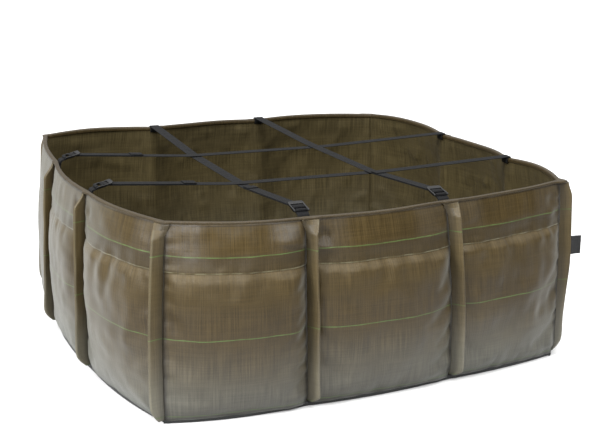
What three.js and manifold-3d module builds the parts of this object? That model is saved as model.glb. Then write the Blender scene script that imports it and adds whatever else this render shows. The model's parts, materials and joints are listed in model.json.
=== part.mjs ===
// A nine-compartment fabric grow bag: twelve bulging wall panels between twelve stitched tucks,
// an open top with a bound rim, a lining, a base tray, and four webbing straps with ladder-lock buckles.
// Millimetres, +Z up. The origin is the middle of the footprint on the ground; the front wall faces -Y.
import * as THREE from "three";
import { mergeVertices } from "three/addons/utils/BufferGeometryUtils.js";
import Module from "manifold-3d";

const wasm = await Module();
wasm.setup();

// ---- Driving dimensions ----
const RIM_HEIGHT = 400; // ground to the top of the rim binding
const PANEL_CHORD = 310; // one tuck to the next
const SIDE_REACH = 505; // centre to a side's two middle tucks, at the rim
const TUCK_DEPTH = 30; // how far a tuck stands out of the wall
const SEAM_HEIGHT = 12; // where the walls are sewn to the base tray
const CUFF_HEIGHT = 95; // the top of the wall fabric is folded down over itself
const RIM_TAPE = 8; // height of the rim binding
const FABRIC = 2; // wall and base fabric
const CUFF_FABRIC = 1.6; // the folded-down layer
const LINING = 3; // felt-backed lining
const GAP = 0.6; // free space left between neighbouring layers
const WEBBING_WIDTH = 25;
const WEBBING = 1.6; // webbing thickness
const BUCKLE_TILT = THREE.MathUtils.degToRad(12); // the buckle rises towards the middle of the bag

const WALL_TOP = RIM_HEIGHT - RIM_TAPE - GAP;
const CUFF_BOTTOM = RIM_HEIGHT - CUFF_HEIGHT;
const INNER_FACE = FABRIC + GAP + LINING; // tuck line to the inside of the lining

// ---- Materials ----
const material = (color, roughness) => new THREE.MeshStandardMaterial({ color, roughness, metalness: 0 });
const wallFabric = material(0x6a5b47, 0.62);
const liningFabric = material(0x544736, 0.8);
const blackWebbing = material(0x2b2c31, 0.75);
const blackPlastic = material(0x202226, 0.4);
const labelFabric = material(0x1d1f22, 0.85);

// ---- Plan of the bag: twelve tuck lines, counterclockwise from the front left corner ----
// The filling pushes each tuck line off its nominal place, by `rim` at the top and `ground` at the bottom
// (x, y). Each tuck also flops by `lean` degrees towards the next panel. `barrel` is how much of the usual
// swelling at half height its line has, and `fullness` how much of the usual bulge the panel after it has.
const TUCK_LINES = [
  { name: "corner_front_left", rim: [15, 10], ground: [-5, -35], lean: -30, barrel: 1, fullness: 1.15 },
  { name: "front_left_middle", rim: [-25, -15], ground: [-15, -15], lean: 32, barrel: 1, fullness: 0.8 },
  { name: "front_middle_right", rim: [-10, 0], ground: [15, 5], lean: 32, barrel: 1, fullness: 0.55 },
  { name: "corner_front_right", rim: [12, 28], ground: [-3, 5], lean: 38, barrel: 0.25, fullness: 0.9 },
  { name: "right_front_middle", rim: [-5, -25], ground: [0, -10], lean: 12, barrel: 0.6, fullness: 1 },
  { name: "right_middle_back", rim: [-5, -25], ground: [0, -10], lean: -14, barrel: 0.8, fullness: 1.1 },
  { name: "corner_back_right", rim: [0, 0], ground: [5, 5], lean: 8, barrel: 0.6, fullness: 1 },
  { name: "back_right_middle", rim: [-15, 0], ground: [-5, 5], lean: 20, barrel: 1, fullness: 0.9 },
  { name: "back_middle_left", rim: [-5, -15], ground: [0, -5], lean: -18, barrel: 0.8, fullness: 1.1 },
  { name: "corner_back_left", rim: [12, 24], ground: [-5, 10], lean: -42, barrel: 0.15, fullness: 0.5 },
  { name: "left_back_middle", rim: [0, 10], ground: [-5, 20], lean: 24, barrel: 0.15, fullness: 0.7 },
  { name: "left_middle_front", rim: [-15, 5], ground: [-15, 5], lean: 10, barrel: 0.15, fullness: 0.9 },
];
const TUCKS = TUCK_LINES.length;
const SIDES = ["front", "right", "back", "left"];
const PANEL_NAMES = [
  ["left", "middle", "right"],
  ["front", "middle", "back"],
  ["right", "middle", "left"],
  ["back", "middle", "front"],
];

// The nominal plan: the same three tuck lines on each side, with PANEL_CHORD from each to the next.
const HALF_CHORD = PANEL_CHORD / 2;
const MIDWAY = (HALF_CHORD + SIDE_REACH) / 2;
const CORNER = MIDWAY + Math.sqrt(PANEL_CHORD ** 2 / 2 - ((SIDE_REACH - HALF_CHORD) / 2) ** 2);
const frontTucks = [
  [-CORNER, -CORNER],
  [-HALF_CHORD, -SIDE_REACH],
  [HALF_CHORD, -SIDE_REACH],
];
const nominalTucks = SIDES.flatMap((_, side) =>
  frontTucks.map(([x, y]) => new THREE.Vector2(x, y).rotateAround(new THREE.Vector2(), (side * Math.PI) / 2)),
);

// The filled bag is a little barrel-shaped, and wider at the ground than at the rim.
const BARREL_SHARE = 0.02; // of the bag's reach, at half height
const GROUND_SHARE = 0.012;
function spread(z, barrel) {
  const down = 1 - z / RIM_HEIGHT;
  return 1 + barrel * BARREL_SHARE * Math.sin(Math.PI * down) + GROUND_SHARE * down;
}

function tuckAt(index, z) {
  const line = (index + TUCKS) % TUCKS;
  const { rim, ground, barrel } = TUCK_LINES[line];
  const settled = new THREE.Vector2(...ground).lerp(new THREE.Vector2(...rim), z / RIM_HEIGHT);
  return nominalTucks[line].clone().multiplyScalar(spread(z, barrel)).add(settled);
}

// How far the middle of a full panel stands out from the line between its two tucks.
const BULGE_AT_RIM = 20;
const BULGE_MORE_BELOW = 24;
const BULGE_AT_SEAM = 14;
function bulge(index, z) {
  const down = 1 - z / RIM_HEIGHT;
  const rounded = BULGE_MORE_BELOW * Math.sin(Math.PI * down ** 0.85);
  const usual = THREE.MathUtils.lerp(BULGE_AT_RIM, BULGE_AT_SEAM, down) + rounded;
  return usual * TUCK_LINES[(index + TUCKS) % TUCKS].fullness;
}

// A point of panel `index` at u (0 to 1 along it) and height z, moved `out` from the wall's outer face.
function panelPoint(index, u, z, out) {
  const start = tuckAt(index, z);
  const along = tuckAt(index + 1, z).sub(start);
  const outward = new THREE.Vector2(along.y, -along.x).normalize();
  const crown = bulge(index, z) * (1 - (2 * u - 1) ** 2);
  const slope = bulge(index, z) * -4 * (2 * u - 1);
  const tangent = along.clone().addScaledVector(outward, slope).normalize();
  const normal = new THREE.Vector2(tangent.y, -tangent.x);
  const p = start.addScaledVector(along, u).addScaledVector(outward, crown).addScaledVector(normal, out);
  return new THREE.Vector3(p.x, p.y, z);
}

// ---- Solids from rings of points ----
// Every ring has the same number of points, counterclockwise seen from the last ring's end.
function loft(rings) {
  const n = rings[0].length;
  const triangles = [];
  const quad = (a, b, c, d) => triangles.push(a, b, c, a, c, d);
  for (let r = 0; r + 1 < rings.length; r++) {
    for (let i = 0; i < n; i++) {
      const j = (i + 1) % n;
      quad(rings[r][i], rings[r][j], rings[r + 1][j], rings[r + 1][i]);
    }
  }
  const cap = (ring) => {
    const middle = ring.reduce((sum, p) => sum.add(p), new THREE.Vector3()).divideScalar(n);
    ring.forEach((p, i) => triangles.push(middle, p, ring[(i + 1) % n]));
  };
  cap(rings.at(-1));
  cap([...rings[0]].reverse());
  return new THREE.BufferGeometry().setFromPoints(triangles);
}

// A sheet between an outer and an inner face. Each face is a function of (station along it, height).
// Both faces split their quads along the same diagonal, so that neighbouring sheets stay parallel.
function sheet(stations, heights, outerFace, innerFace) {
  const outer = stations.map((u) => heights.map((z) => outerFace(u, z)));
  const inner = stations.map((u) => heights.map((z) => innerFace(u, z)));
  const triangles = [];
  const quad = (a, b, c, d) => triangles.push(a, b, c, a, c, d);
  const lastStation = stations.length - 1;
  const lastHeight = heights.length - 1;
  for (let i = 0; i < lastStation; i++) {
    for (let k = 0; k < lastHeight; k++) {
      quad(outer[i][k], outer[i + 1][k], outer[i + 1][k + 1], outer[i][k + 1]);
      quad(inner[i][k], inner[i][k + 1], inner[i + 1][k + 1], inner[i + 1][k]);
    }
    quad(inner[i][0], inner[i + 1][0], outer[i + 1][0], outer[i][0]);
    quad(outer[i][lastHeight], outer[i + 1][lastHeight], inner[i + 1][lastHeight], inner[i][lastHeight]);
  }
  for (let k = 0; k < lastHeight; k++) {
    quad(outer[0][k], outer[0][k + 1], inner[0][k + 1], inner[0][k]);
    const [outerEnd, innerEnd] = [outer[lastStation], inner[lastStation]];
    quad(innerEnd[k], innerEnd[k + 1], outerEnd[k + 1], outerEnd[k]);
  }
  return new THREE.BufferGeometry().setFromPoints(triangles);
}

// ---- Booleans ----
function toManifold(geometry) {
  const bare = geometry.clone();
  bare.deleteAttribute("normal");
  bare.deleteAttribute("uv");
  const merged = mergeVertices(bare, 1e-4);
  return new wasm.Manifold(
    new wasm.Mesh({
      numProp: 3,
      vertProperties: merged.attributes.position.array,
      triVerts: new Uint32Array(merged.index.array),
    }),
  );
}

function toGeometry(solid) {
  const { vertProperties, triVerts } = solid.getMesh();
  return new THREE.BufferGeometry()
    .setAttribute("position", new THREE.BufferAttribute(new Float32Array(vertProperties), 3))
    .setIndex(new THREE.BufferAttribute(new Uint32Array(triVerts), 1));
}

const bag = new THREE.Group();

function add(name, geometry, surface, parent = bag) {
  geometry.computeVertexNormals();
  const mesh = new THREE.Mesh(geometry, surface);
  mesh.name = name;
  parent.add(mesh);
  return mesh;
}

// Wall, lining and rim share these stations along a panel and heights, so their layers stay parallel.
const COLUMNS = 6;
const CUFF_STEP = 0.6; // height of the sloping step at the cuff's lower edge
const HEIGHTS = [SEAM_HEIGHT, 60, 130, 210, CUFF_BOTTOM - CUFF_STEP, CUFF_BOTTOM, 350, WALL_TOP];

// ---- Walls: twelve panels, each with the folded-down cuff along its top ----
const TUCK_ROOM = 4.5; // a panel stops this far from each of its tuck lines

function wallPanel(index) {
  const inset = TUCK_ROOM / PANEL_CHORD;
  const stations = Array.from({ length: COLUMNS + 1 }, (_, k) =>
    THREE.MathUtils.clamp(k / COLUMNS, inset, 1 - inset),
  );
  const outerFace = (u, z) => panelPoint(index, u, z, z < CUFF_BOTTOM ? 0 : CUFF_FABRIC);
  const innerFace = (u, z) => panelPoint(index, u, z, -FABRIC);
  return sheet(stations, HEIGHTS, outerFace, innerFace);
}

SIDES.forEach((side, s) =>
  PANEL_NAMES[s].forEach((place, p) => add(`wall_${side}_${place}`, wallPanel(3 * s + p), wallFabric)),
);

// ---- Tucks: the wall fabric pinched and stitched into an outward-standing fold ----
const TUCK_HALF_ROOT = 1;
const TUCK_HALF_FOLD = 3.4;
const TUCK_ROOT = -1.2; // the fold starts this far inside the tuck line
const FOLD_STEPS = 4;

// The way a tuck stands out of the wall, in plan.
function outwardAt(index, z) {
  const past = tuckAt(index + 1, z).sub(tuckAt(index - 1, z));
  const lean = THREE.MathUtils.degToRad(TUCK_LINES[index].lean);
  return new THREE.Vector2(past.y, -past.x).normalize().rotateAround(new THREE.Vector2(), lean);
}

function tuck(index) {
  const ring = (z) => {
    const outward = outwardAt(index, z);
    const across = new THREE.Vector2(-outward.y, outward.x);
    const place = (out, side) => {
      const p = tuckAt(index, z).addScaledVector(outward, out).addScaledVector(across, side);
      return new THREE.Vector3(p.x, p.y, z);
    };
    const points = [place(TUCK_ROOT, TUCK_HALF_ROOT), place(TUCK_ROOT, -TUCK_HALF_ROOT)];
    for (let k = 0; k <= FOLD_STEPS; k++) {
      const turn = -Math.PI / 2 + (k * Math.PI) / FOLD_STEPS;
      const out = TUCK_DEPTH - TUCK_HALF_FOLD * (1 - Math.cos(turn));
      points.push(place(out, TUCK_HALF_FOLD * Math.sin(turn)));
    }
    return points;
  };
  return loft([SEAM_HEIGHT, 80, 160, 240, 320, WALL_TOP].map(ring));
}

TUCK_LINES.forEach(({ name }, index) => add(`tuck_${name}`, tuck(index), wallFabric));

// ---- Lining: one three-panel sheet inside each side, mitred at the corners ----
const HALF_MITRE_GAP = 0.25;

// A point `out` from tuck line `index`, where two panels' faces meet at an angle.
function tuckPoint(index, z, out) {
  const before = panelPoint(index - 1, 1, z, out);
  const after = panelPoint(index, 0, z, out);
  const root = tuckAt(index, z);
  const shift = before.add(after).multiplyScalar(0.5).sub(new THREE.Vector3(root.x, root.y, z));
  const stretch = out ** 2 / shift.lengthSq(); // from the middle of the two offsets to where the faces cross
  return shift.multiplyScalar(stretch).add(new THREE.Vector3(root.x, root.y, z));
}

function liningSide(side) {
  const stations = Array.from({ length: 3 * COLUMNS + 1 }, (_, k) => k / COLUMNS);
  const face = (out) => (u, z) => {
    const panel = Math.min(2, Math.floor(u));
    if (u !== Math.round(u)) return panelPoint(3 * side + panel, u - panel, z, out);
    const corner = tuckPoint(3 * side + u, z, out);
    const sideways = new THREE.Vector3(-corner.y, corner.x, 0).setLength(HALF_MITRE_GAP);
    if (u === 0) corner.add(sideways);
    if (u === 3) corner.sub(sideways);
    return corner;
  };
  return sheet(stations, HEIGHTS, face(-FABRIC - GAP), face(-INNER_FACE));
}

SIDES.forEach((side, s) => add(`lining_${side}`, liningSide(s), liningFabric));

// ---- Rim binding: one closed loop of folded tape over the top edges of wall and lining ----
const RIM_OUTER = CUFF_FABRIC + 1; // beyond the wall's outer face
const RIM_INNER = -INNER_FACE - 0.8;

function rimLoop(out, z) {
  const loop = [];
  for (let index = 0; index < TUCKS; index++) {
    loop.push(tuckPoint(index, RIM_HEIGHT, out));
    for (let k = 1; k < COLUMNS; k++) loop.push(panelPoint(index, k / COLUMNS, RIM_HEIGHT, out));
  }
  return loop.map((p) => p.setZ(z));
}

function rimBinding() {
  const low = RIM_HEIGHT - RIM_TAPE;
  const chamfer = 2;
  const section = [
    rimLoop(RIM_OUTER, low),
    rimLoop(RIM_OUTER, RIM_HEIGHT - chamfer),
    rimLoop(RIM_OUTER - chamfer, RIM_HEIGHT),
    rimLoop(RIM_INNER + chamfer, RIM_HEIGHT),
    rimLoop(RIM_INNER, RIM_HEIGHT - chamfer),
    rimLoop(RIM_INNER, low),
  ];
  const triangles = [];
  section.forEach((lower, r) => {
    const upper = section[(r + 1) % section.length];
    lower.forEach((a, i) => {
      const j = (i + 1) % lower.length;
      triangles.push(a, lower[j], upper[j], a, upper[j], upper[i]);
    });
  });
  return new THREE.BufferGeometry().setFromPoints(triangles);
}

add("rim_binding", rimBinding(), wallFabric);

// ---- Base: a shallow tray of wall fabric with the lining's floor inside it ----
function footprint(inset) {
  const shape = new THREE.Shape();
  const shrink = (p) => p.clone().setLength(p.length() - inset);
  for (let index = 0; index <= TUCKS; index++) {
    const here = shrink(tuckAt(index, SEAM_HEIGHT));
    if (index === 0) {
      shape.moveTo(here.x, here.y);
      continue;
    }
    const middle = panelPoint((index - 1) % TUCKS, 0.5, SEAM_HEIGHT, 0);
    const previous = shrink(tuckAt(index - 1, SEAM_HEIGHT));
    const crown = shrink(new THREE.Vector2(middle.x, middle.y));
    // A quadratic curve passes its middle point when its control point is twice as far from the chord.
    const control = crown.multiplyScalar(2).sub(previous.clone().add(here).multiplyScalar(0.5));
    shape.quadraticCurveTo(control.x, control.y, here.x, here.y);
  }
  return shape;
}

function footprintSlab(inset, bottom, top) {
  return new THREE.ExtrudeGeometry(footprint(inset), {
    depth: top - bottom,
    bevelEnabled: false,
    curveSegments: 5,
  }).translate(0, 0, bottom);
}

const TRAY_INSET = 1.5;
const trayTop = SEAM_HEIGHT - GAP;
const tray = toManifold(footprintSlab(TRAY_INSET, 0, trayTop)).subtract(
  toManifold(footprintSlab(TRAY_INSET + FABRIC, FABRIC, trayTop + 1)),
);
add("base_tray", toGeometry(tray), wallFabric);
const liningFloor = FABRIC + GAP;
add(
  "lining_floor",
  footprintSlab(TRAY_INSET + FABRIC + GAP, liningFloor, liningFloor + LINING),
  liningFabric,
);

// ---- Straps ----
// Each strap is drawn in the upright plane through its two tucks: x runs in from the near tuck line,
// y is the webbing's width, z is up. Webbing is its side profile extruded across its width.
const REAR_BAR = new THREE.Vector2(22, 407.5); // the loop sewn to the wall goes round this bar
const REAR_BAR_RADIUS = 2.2;
const MIDDLE_BAR_ALONG = 14; // from the rear bar, along the tilted buckle; the strap goes round this bar
const MIDDLE_BAR_RADIUS = 1.8;
const FRONT_TAB_ALONG = 28;
const FRONT_TAB_RISE = 2.6;
const RELEASE_TILT = THREE.MathUtils.degToRad(25); // lifting the tab rocks the buckle on its middle bar
const LAYER_STEP = WEBBING + 0.4; // one webbing layer to the next

const xz = (x, z) => new THREE.Vector2(x, z);

// A band of the given thickness along a line of points.
function bandShape(points, thickness) {
  const last = points.length - 1;
  const wayTo = (i) => points[i].clone().sub(points[i - 1]).normalize();
  const side = (sign) =>
    points.map((p, i) => {
      const enter = wayTo(Math.max(1, i));
      const leave = wayTo(Math.min(last, i + 1));
      const along = enter.clone().add(leave).normalize();
      const reach = (sign * thickness) / 2 / along.dot(enter);
      return p.clone().add(xz(-along.y, along.x).multiplyScalar(reach));
    });
  return new THREE.Shape([...side(-1), ...side(1).reverse()]);
}

// Turns a side profile in (x, z) into a solid `width` wide, centred on the strap's plane.
function acrossWidth(shape, width) {
  const solid = new THREE.ExtrudeGeometry(shape, { depth: width, bevelEnabled: false, curveSegments: 5 });
  return solid.translate(0, 0, -width / 2).rotateX(Math.PI / 2);
}

function roundBar(centre, radius, width) {
  const disc = new THREE.Shape().absarc(centre.x, centre.y, radius, 0, 2 * Math.PI);
  return toManifold(acrossWidth(disc, width));
}

function onBuckle(along, rise) {
  return xz(along, rise).rotateAround(xz(0, 0), BUCKLE_TILT).add(REAR_BAR);
}

const middleBar = onBuckle(MIDDLE_BAR_ALONG, 0);

const SEWN_FACE = INNER_FACE + 4.5; // middle of the webbing sewn on the lining, at the rim

// One end of a strap: its tuck line, and the direction in from there along the strap.
function strapEnd(fromLine, toLine) {
  const start = tuckAt(fromLine, RIM_HEIGHT);
  const across = tuckAt(toLine, RIM_HEIGHT).sub(start);
  return { line: fromLine, start, inward: across.clone().normalize(), span: across.length() };
}

// A point sewn on the lining below the rim, where the wall stands further out. `slack` moves it inward.
function sewnAt(end, z, slack = 0) {
  const settled = tuckAt(end.line, z).sub(end.start).dot(end.inward);
  return xz(SEWN_FACE + slack + settled, z);
}

const LOOP_FOOT = 345; // lower end of the webbing sewn inside the wall
const ANCHOR_FOOT = 372;

// The short doubled webbing that holds a buckle: sewn inside the wall, with an eye round the rear bar.
// The eye is slack enough for the rear bar to swing down while the buckle rocks on its middle bar.
function buckleLoop(end) {
  const path = [
    sewnAt(end, LOOP_FOOT),
    sewnAt(end, (LOOP_FOOT + RIM_HEIGHT) / 2),
    xz(SEWN_FACE, RIM_HEIGHT - 4),
    xz(SEWN_FACE + 3, RIM_HEIGHT + 1.5),
    REAR_BAR.clone(),
  ];
  let loop = toManifold(acrossWidth(bandShape(path, 2 * WEBBING), WEBBING_WIDTH));
  const swings = [0, 0.25, 0.5, 0.75, 1].map((share) =>
    REAR_BAR.clone().rotateAround(middleBar, share * RELEASE_TILT),
  );
  const clear = REAR_BAR_RADIUS + 0.4;
  for (const place of swings) loop = loop.add(roundBar(place, clear + WEBBING, WEBBING_WIDTH));
  for (const place of swings) loop = loop.subtract(roundBar(place, clear, WEBBING_WIDTH + 2));
  return toGeometry(loop);
}

// A ladder lock: two side rails joined by the rear bar, the middle bar and the raised front tab.
function buckle() {
  const clearHalf = WEBBING_WIDTH / 2 + 0.9;
  const railWidth = 3.4;
  const barLength = 2 * clearHalf + railWidth;
  const railPath = [
    onBuckle(-0.5, 0),
    onBuckle(MIDDLE_BAR_ALONG, -0.2),
    onBuckle(FRONT_TAB_ALONG + 2, FRONT_TAB_RISE),
  ];
  const rail = acrossWidth(bandShape(railPath, 5.4), railWidth);
  const railAt = (sign) => toManifold(rail.clone().translate(0, sign * (clearHalf + railWidth / 2), 0));
  const tabPath = [
    onBuckle(FRONT_TAB_ALONG - 1.5, FRONT_TAB_RISE),
    onBuckle(FRONT_TAB_ALONG + 5, FRONT_TAB_RISE + 1.5),
  ];
  return toGeometry(
    railAt(-1)
      .add(railAt(1))
      .add(roundBar(REAR_BAR, REAR_BAR_RADIUS, barLength))
      .add(roundBar(middleBar, MIDDLE_BAR_RADIUS, barLength))
      .add(toManifold(acrossWidth(bandShape(tabPath, 2.6), barLength))),
  );
}

// The strap comes up from its level middle to just under the middle bar; its far end lies over the rim.
const LEVEL_BEYOND = 325; // a strap is level from this far inside its near tuck, and likewise at its far end
const FAR_END_HEIGHT = RIM_HEIGHT + GAP + WEBBING + LAYER_STEP - WEBBING / 2;
const overBar = middleBar.clone().add(xz(0, MIDDLE_BAR_RADIUS + 0.4 + WEBBING / 2));
function strapSlope(levelHeight) {
  return xz(LEVEL_BEYOND, levelHeight).sub(overBar).add(xz(0, LAYER_STEP)).normalize();
}

function strapRun(levelHeight, span) {
  const start = overBar.clone().sub(xz(0, LAYER_STEP));
  const path = [
    start.addScaledVector(strapSlope(levelHeight), MIDDLE_BAR_RADIUS + 3),
    xz(LEVEL_BEYOND, levelHeight),
    xz(span - LEVEL_BEYOND, levelHeight),
    xz(span - 20, FAR_END_HEIGHT),
    xz(span + 1, FAR_END_HEIGHT),
  ];
  return acrossWidth(bandShape(path, WEBBING), WEBBING_WIDTH);
}

// The tail lies on the run. Its tip is folded back and sewn, so that it can't pull out of the buckle.
const TIP_LENGTH = 28;
function strapTail(levelHeight, length) {
  const along = strapSlope(levelHeight);
  const end = overBar.clone().addScaledVector(along, length);
  const strip = toManifold(acrossWidth(bandShape([overBar, end], WEBBING), WEBBING_WIDTH));
  const rise = xz(-along.y, along.x).multiplyScalar(WEBBING * 0.75);
  const tipPath = [end.clone().addScaledVector(along, -TIP_LENGTH).add(rise), end.clone().add(rise)];
  return toGeometry(strip.add(toManifold(acrossWidth(bandShape(tipPath, WEBBING), WEBBING_WIDTH - 1))));
}

// The far end of a strap is sewn to a short webbing that comes up inside the wall and over the rim.
function endAnchor(end) {
  const over = RIM_HEIGHT + GAP + WEBBING / 2;
  const path = [
    sewnAt(end, ANCHOR_FOOT, -1),
    sewnAt(end, (ANCHOR_FOOT + RIM_HEIGHT) / 2, -1),
    xz(SEWN_FACE - 0.6, RIM_HEIGHT - 2.5),
    xz(SEWN_FACE - 2.4, over),
    xz(-1, over),
  ];
  return acrossWidth(bandShape(path, WEBBING), WEBBING_WIDTH);
}

// A strap runs from the tuck line `from`, where its buckle is, to the tuck line `to`.
// The left lengthwise strap lies lowest and the right one on top.
const STRAPS = [
  { name: "lengthwise_left", from: "front_left_middle", to: "back_middle_left", level: 387.6, tail: 280 },
  { name: "lengthwise_right", from: "front_middle_right", to: "back_right_middle", level: 392.4, tail: 280 },
  { name: "crosswise_front", from: "left_middle_front", to: "right_front_middle", level: 390, tail: 205 },
  { name: "crosswise_back", from: "left_back_middle", to: "right_middle_back", level: 390, tail: 170 },
];
const lineNamed = (name) => TUCK_LINES.findIndex((line) => line.name === name);

for (const strap of STRAPS) {
  const [fromLine, toLine] = [lineNamed(strap.from), lineNamed(strap.to)];
  const nearEnd = strapEnd(fromLine, toLine);
  const near = new THREE.Group();
  near.position.set(nearEnd.start.x, nearEnd.start.y, 0);
  near.rotation.z = nearEnd.inward.angle();
  bag.add(near);
  add(`buckle_loop_${strap.name}`, buckleLoop(nearEnd), blackWebbing, near);
  add(`buckle_${strap.name}`, buckle(), blackPlastic, near);
  add(`strap_${strap.name}`, strapRun(strap.level, nearEnd.span), blackWebbing, near);
  add(`tail_${strap.name}`, strapTail(strap.level, strap.tail), blackWebbing, near);

  const far = new THREE.Group();
  far.position.set(nearEnd.span, 0, 0);
  far.rotation.z = Math.PI;
  near.add(far);
  add(`end_anchor_${strap.name}`, endAnchor(strapEnd(toLine, fromLine)), blackWebbing, far);
}

// ---- Label: a small folded woven label sewn into the fold of the front right corner tuck ----
const LABEL_WIDTH = 23;
const LABEL_HEIGHT = 42;
const LABEL_MIDDLE = 253; // height of its middle
const LABEL_THICKNESS = 1;
const LABEL_HEADING = THREE.MathUtils.degToRad(-8);
const labelTuck = lineNamed("corner_front_right");
const labelSeam = tuckAt(labelTuck, LABEL_MIDDLE);
labelSeam.addScaledVector(outwardAt(labelTuck, LABEL_MIDDLE), TUCK_DEPTH + 1.2);
const label = add(
  "label",
  new THREE.BoxGeometry(LABEL_WIDTH, LABEL_THICKNESS, LABEL_HEIGHT).translate(LABEL_WIDTH / 2, 0, 0),
  labelFabric,
);
label.position.set(labelSeam.x, labelSeam.y, LABEL_MIDDLE);
label.rotation.z = LABEL_HEADING;

export default bag;
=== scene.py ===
"""The looks of a nine-compartment fabric grow bag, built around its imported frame. Metres throughout."""
import json
from math import atan2, cos, dist, hypot, pi, radians, sin, sqrt

import bmesh
import bpy
import numpy as np
from mathutils import Matrix, Vector
from numpy.linalg import norm


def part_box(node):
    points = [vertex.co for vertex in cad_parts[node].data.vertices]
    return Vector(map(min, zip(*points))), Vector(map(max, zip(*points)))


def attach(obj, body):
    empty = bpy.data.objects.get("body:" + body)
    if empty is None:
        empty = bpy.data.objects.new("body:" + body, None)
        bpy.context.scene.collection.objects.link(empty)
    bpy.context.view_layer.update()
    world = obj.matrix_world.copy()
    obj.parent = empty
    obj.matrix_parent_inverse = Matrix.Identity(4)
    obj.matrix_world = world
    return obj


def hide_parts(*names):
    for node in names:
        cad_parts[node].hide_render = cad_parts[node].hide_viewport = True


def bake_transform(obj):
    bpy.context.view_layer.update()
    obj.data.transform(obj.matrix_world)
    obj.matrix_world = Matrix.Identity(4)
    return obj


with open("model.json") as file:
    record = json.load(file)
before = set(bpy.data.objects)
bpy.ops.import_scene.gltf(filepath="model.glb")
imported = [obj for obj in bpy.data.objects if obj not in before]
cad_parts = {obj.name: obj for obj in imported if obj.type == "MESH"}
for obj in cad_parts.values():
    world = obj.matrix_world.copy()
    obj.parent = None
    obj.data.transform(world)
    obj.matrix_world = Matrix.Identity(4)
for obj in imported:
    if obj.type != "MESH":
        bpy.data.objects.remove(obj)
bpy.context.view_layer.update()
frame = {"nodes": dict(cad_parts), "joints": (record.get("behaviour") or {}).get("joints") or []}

MM = 0.001

# ---- Sizes that the cloth has and the frame leaves out ----
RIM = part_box("rim_binding")[1].z  # top of the folded hem
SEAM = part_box("wall_front_left")[0].z - 5 * MM  # the cloth hangs a little below its seam with the base
WALL_TOP = RIM - 4 * MM  # the cloth runs up inside the hem
CUFF_EDGE = 305 * MM  # lower edge of the folded-down cuff
CUFF_THICKNESS = 1.6 * MM
FABRIC = 2 * MM
LINING = 3 * MM
LAYER_GAP = 0.6 * MM
TRACERS = (336 * MM, 177 * MM, 16 * MM)  # heights of the pale threads woven into the cloth
GRID = 5 * MM  # spacing of a cloth piece's points
ROLL_IN = 7 * MM  # how far the bottom of a wall curls in
FULLNESS = 1.2  # how much squarer than a parabola a panel's curve is below the hem
SWELL = 2 * MM  # how far a panel swells between the cuff and the ground, beyond the simulated cloth
SOIL_PUSH = 3.0  # outward pressure of the soil in the cloth simulation
CAD_TUCK_START = 1.2 * MM  # a CAD tuck starts this far inside its line
WEBBING = 1.6 * MM
WEBBING_WIDTH = 25 * MM
# Half of a tuck's cross-section, as (out, side) in millimetres from the line where it is stitched.
FOLD_PROFILE = [(-1.8, 1.2), (0, 1.6), (8, 1.8), (17, 2.3), (24, 2.9), (27.9, 2.6), (29.6, 1.4), (30.1, 0)]
TUCK_DEPTH = FOLD_PROFILE[-1][0] * MM


# ---- Small tools ----
def waves(x, y, length, seed, count=9):
    """A smooth random field of about -1 to 1, with bumps about `length` apart."""
    random = np.random.default_rng(seed)
    total = np.zeros(np.broadcast(x, y).shape)
    for _ in range(count):
        angle = random.uniform(0, 2 * pi)
        step = 2 * pi / (length * random.uniform(0.7, 1.6))
        phase = random.uniform(0, 2 * pi)
        total += np.sin(step * (x * cos(angle) + y * sin(angle)) + phase)
    return total / sqrt(count / 2) / 1.6


def ease(value, start, end):
    """0 at start, 1 at end, smooth between them."""
    t = np.clip((value - start) / (end - start), 0, 1)
    return t * t * (3 - 2 * t)


def bell(value, middle, width):
    return np.exp(-(((value - middle) / width) ** 2))


def grid_faces(rows, columns, wrap_rows=False, wrap_columns=False, first=0):
    """Quads of a grid of points numbered row by row from `first`."""
    index = np.arange(rows * columns).reshape(rows, columns) + first
    if wrap_rows:
        index = np.vstack([index, index[:1]])
    if wrap_columns:
        index = np.hstack([index, index[:, :1]])
    corners = [index[:-1, :-1], index[1:, :-1], index[1:, 1:], index[:-1, 1:]]
    return np.stack(corners, -1).reshape(-1, 4)


def make_piece(name, points, faces, uv, material):
    """A mesh object from points, a list of face index lists and one (u, v) per point, in metres of cloth."""
    mesh = bpy.data.meshes.new(name)
    mesh.from_pydata(np.asarray(points).reshape(-1, 3).tolist(), [], [list(f) for f in faces])
    layer = mesh.uv_layers.new(name="cloth")
    corners = np.zeros(len(mesh.loops), int)
    mesh.loops.foreach_get("vertex_index", corners)
    layer.data.foreach_set("uv", np.asarray(uv, float).reshape(-1, 2)[corners].ravel())
    mesh.polygons.foreach_set("use_smooth", [True] * len(mesh.polygons))
    mesh.materials.append(material)
    piece = bpy.data.objects.new(name, mesh)
    bpy.context.scene.collection.objects.link(piece)
    return piece


def shell(name, outer, inner, uv, material):
    """A closed sheet between two grids of points, with uv for each point of a grid."""
    rows, columns = outer.shape[:2]
    count = rows * columns
    front = grid_faces(rows, columns)
    back = grid_faces(rows, columns, first=count)[:, ::-1]
    index = np.arange(count).reshape(rows, columns)
    border = np.concatenate([index[:-1, 0], index[-1, :-1], index[:0:-1, -1], index[0, :0:-1]])
    following = np.roll(border, -1)
    edge = np.stack([border, border + count, following + count, following], -1)
    points = np.concatenate([outer.reshape(-1, 3), inner.reshape(-1, 3)])
    faces = np.concatenate([front, back, edge])
    return make_piece(name, points, faces, np.concatenate([uv.reshape(-1, 2)] * 2), material)


def tube(name, rings, uv, material):
    """A closed skin over rings of points, with a flat face at each end."""
    rows, columns = rings.shape[:2]
    faces = grid_faces(rows, columns, wrap_columns=True).tolist()
    faces.append(list(range(columns)))
    faces.append([(rows - 1) * columns + k for k in reversed(range(columns))])
    return facing_out(make_piece(name, rings, faces, uv, material))


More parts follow.
